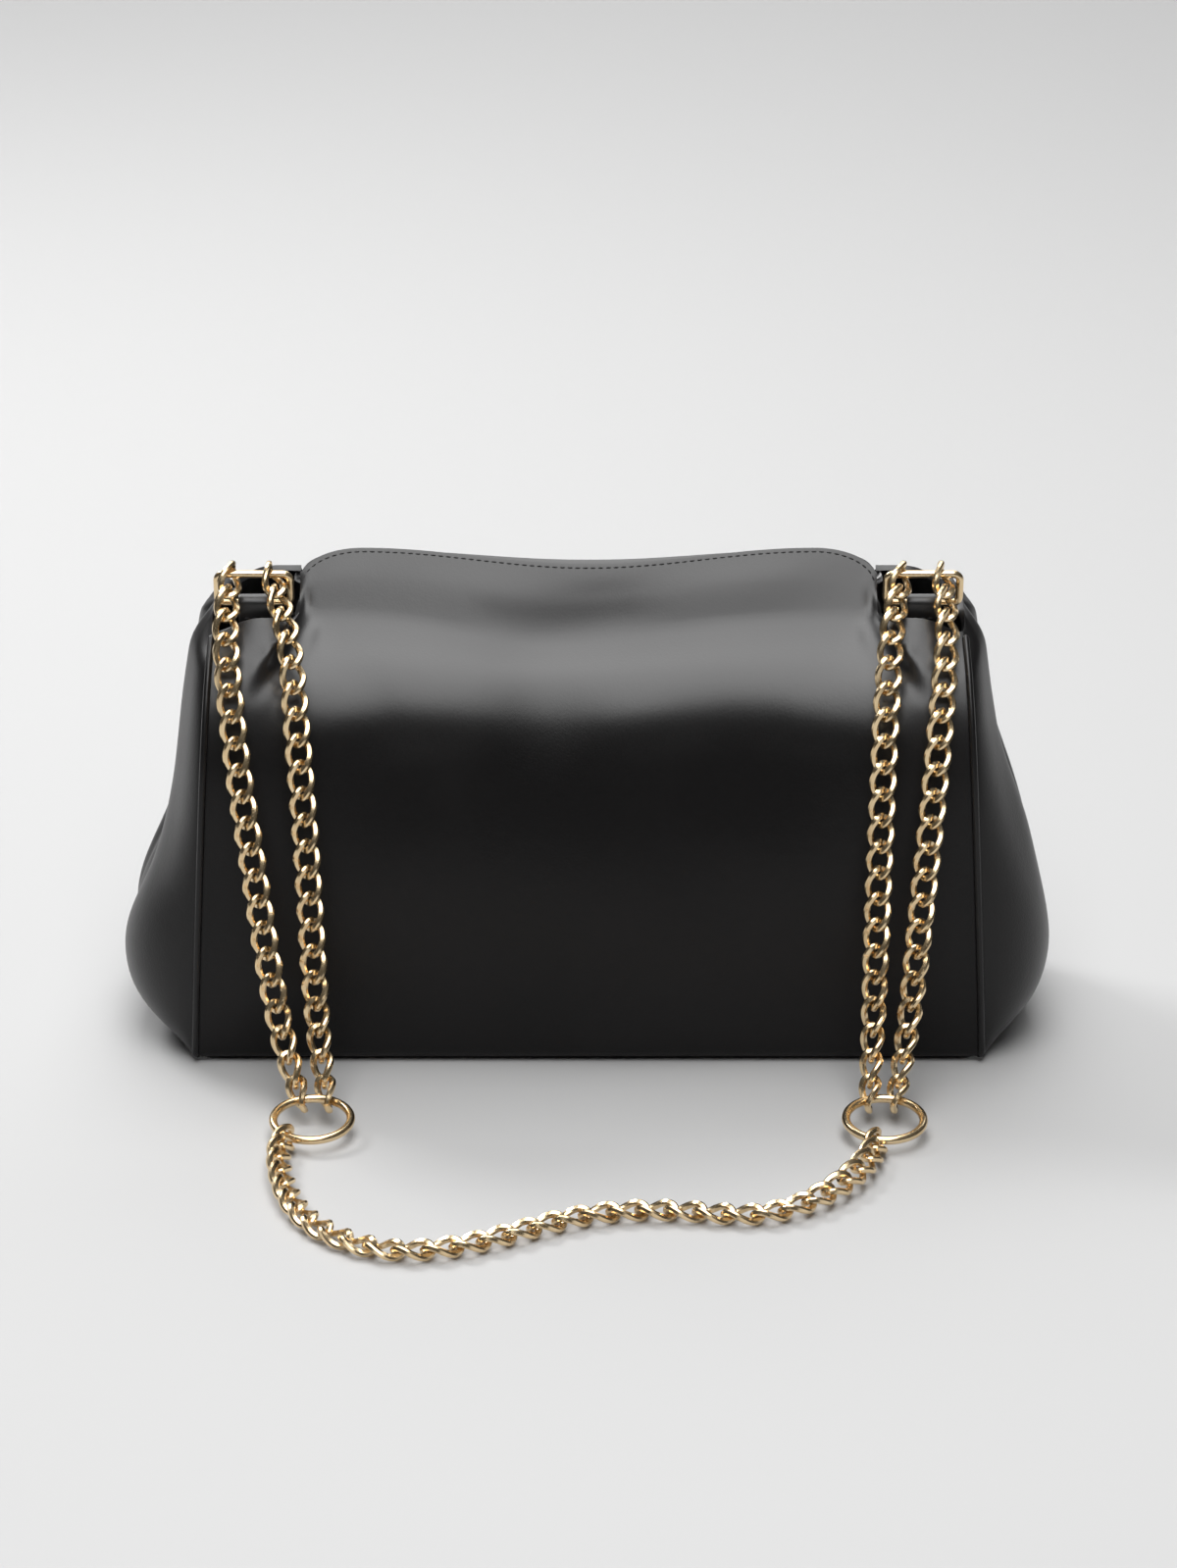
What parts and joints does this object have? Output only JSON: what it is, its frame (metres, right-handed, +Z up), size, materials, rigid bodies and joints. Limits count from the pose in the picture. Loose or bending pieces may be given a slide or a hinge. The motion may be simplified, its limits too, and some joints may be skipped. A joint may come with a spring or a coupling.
{
  "type": "chain shoulder bag",
  "caption": "Soft leather shoulder bag with bulging gussets, a wavy-lipped mouth and a curb-chain strap that branches at join rings.",
  "frame": {"origin": "middle of the base's underside, on the ground", "axes": "+Z up, +X to the right when the back with the strap is seen, the back faces -Y"},
  "size_m": [0.293, 0.2483, 0.1574],
  "materials": {
    "black_leather": "smooth, soft sheen",
    "welt_leather": "smooth",
    "lining_cloth": "matte",
    "magnet_steel": "plain",
    "pale_gold": "polished pale gold",
    "base_board": "matte"
  },
  "bodies": {
    "bag_body": {"back_panel": "black_leather", "front_panel": "black_leather", "base_panel": "black_leather", "base_board": "base_board", "left_gusset": "black_leather", "right_gusset": "black_leather", "back_lining": "lining_cloth", "front_lining": "lining_cloth", "left_tab": "black_leather", "right_tab": "black_leather", "back_left_welt": "welt_leather", "back_right_welt": "welt_leather", "front_left_welt": "welt_leather", "front_right_welt": "welt_leather"},
    "back_lip": {"back_lip": "black_leather", "back_lip_facing": "lining_cloth", "back_magnet": "magnet_steel", "back_magnet_cover": "lining_cloth"},
    "front_lip": {"front_lip": "black_leather", "front_lip_facing": "lining_cloth", "front_magnet": "magnet_steel", "front_magnet_cover": "lining_cloth"},
    "left_loop": {"left_strap_loop": "pale_gold"},
    "right_loop": {"right_strap_loop": "pale_gold"},
    "left_strands": {"left_outer_strand": "pale_gold", "left_inner_strand": "pale_gold"},
    "right_strands": {"right_outer_strand": "pale_gold", "right_inner_strand": "pale_gold"},
    "shoulder_strap": {"left_join_ring": "pale_gold", "right_join_ring": "pale_gold", "shoulder_chain": "pale_gold"}
  },
  "joints": [
    {"name": "back_lip_crease", "type": "hinge", "parent": "bag_body", "child": "back_lip", "pos_m": [0, -0.018, 0.1343], "axis": [1, 0, 0], "range_deg": [0, 60]},
    {"name": "front_lip_crease", "type": "hinge", "parent": "bag_body", "child": "front_lip", "pos_m": [0, 0.018, 0.1343], "axis": [-1, 0, 0], "range_deg": [0, 60]},
    {"name": "left_loop_bar", "type": "hinge", "parent": "bag_body", "child": "left_loop", "pos_m": [-0.104, -0.0206, 0.1434], "axis": [-1, 0, 0], "range_deg": [0, 45]},
    {"name": "right_loop_bar", "type": "hinge", "parent": "bag_body", "child": "right_loop", "pos_m": [0.104, -0.0206, 0.1434], "axis": [-1, 0, 0], "range_deg": [0, 45]},
    {"name": "left_strands_hang", "type": "hinge", "parent": "left_loop", "child": "left_strands", "pos_m": [-0.104, -0.02272, 0.15338], "axis": [-1, 0, 0], "range_deg": [0, 120]},
    {"name": "right_strands_hang", "type": "hinge", "parent": "right_loop", "child": "right_strands", "pos_m": [0.104, -0.02272, 0.15338], "axis": [-1, 0, 0], "range_deg": [0, 120]},
    {"name": "strap_hook", "type": "hinge", "parent": "left_strands", "child": "shoulder_strap", "pos_m": [-0.084, -0.09402, 0.00714], "axis": [1, 0, 0], "range_deg": [-20, 70]}
  ],
  "couplings": [
    {"joint": "right_loop_bar", "follows": "left_loop_bar", "ratio": 1},
    {"joint": "right_strands_hang", "follows": "left_strands_hang", "ratio": 1}
  ]
}
